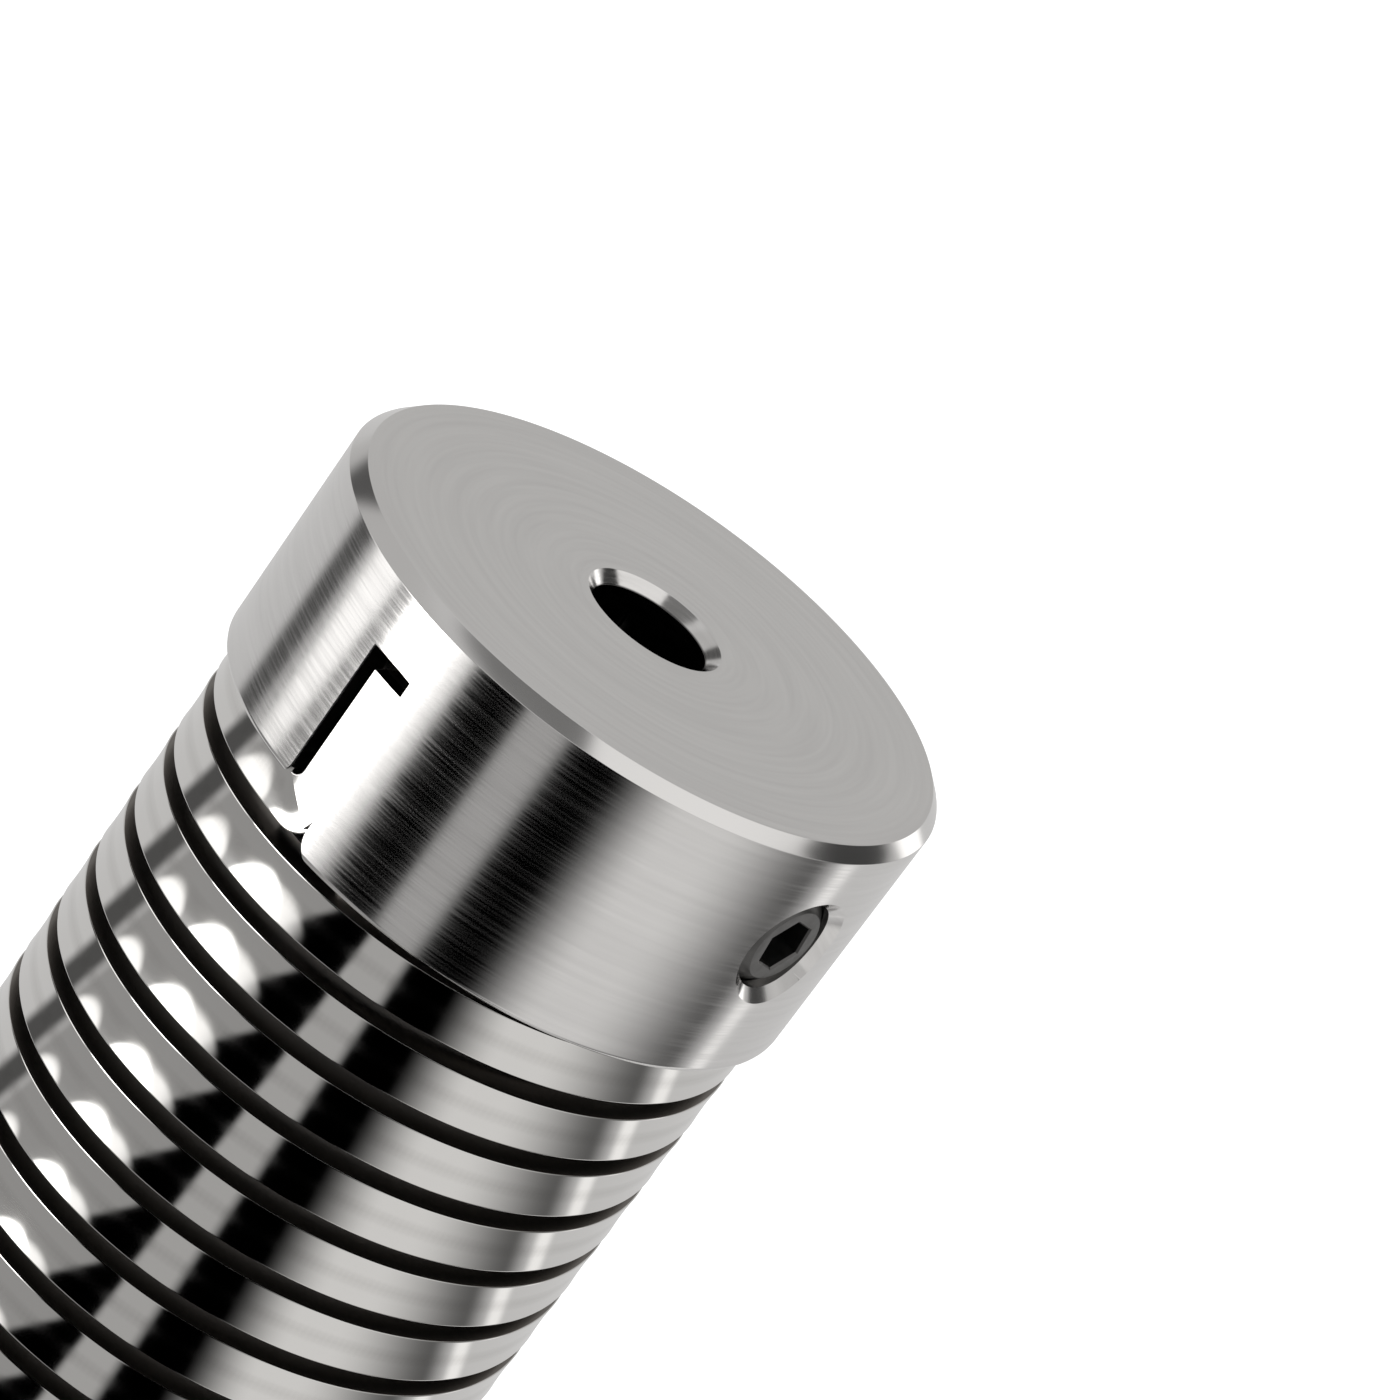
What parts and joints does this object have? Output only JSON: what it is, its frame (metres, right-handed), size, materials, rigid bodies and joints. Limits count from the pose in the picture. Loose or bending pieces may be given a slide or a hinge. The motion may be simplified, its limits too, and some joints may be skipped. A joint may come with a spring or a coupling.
{
  "type": "helical coil shaft coupling",
  "caption": "Flexible shaft coupling: two turned steel hubs joined by a flat-wire coil whose bent ends lock in notches, with set screws to grip the shafts.",
  "frame": {"origin": "centre of the lower hub's end face", "axes": "+Z along the shaft axis towards the upper hub, +X out through one set screw of each hub"},
  "size_m": [0.026, 0.026, 0.05],
  "materials": {
    "hub": "fine turned stainless steel",
    "coil": "smooth ground spring steel",
    "set_screw": "black oxide"
  },
  "bodies": {
    "root": {"upper_hub": "hub", "lower_hub": "hub", "coil_spring": "coil", "upper_set_screw_front": "set_screw", "upper_set_screw_side": "set_screw", "lower_set_screw_front": "set_screw", "lower_set_screw_side": "set_screw"}
  },
  "joints": []
}
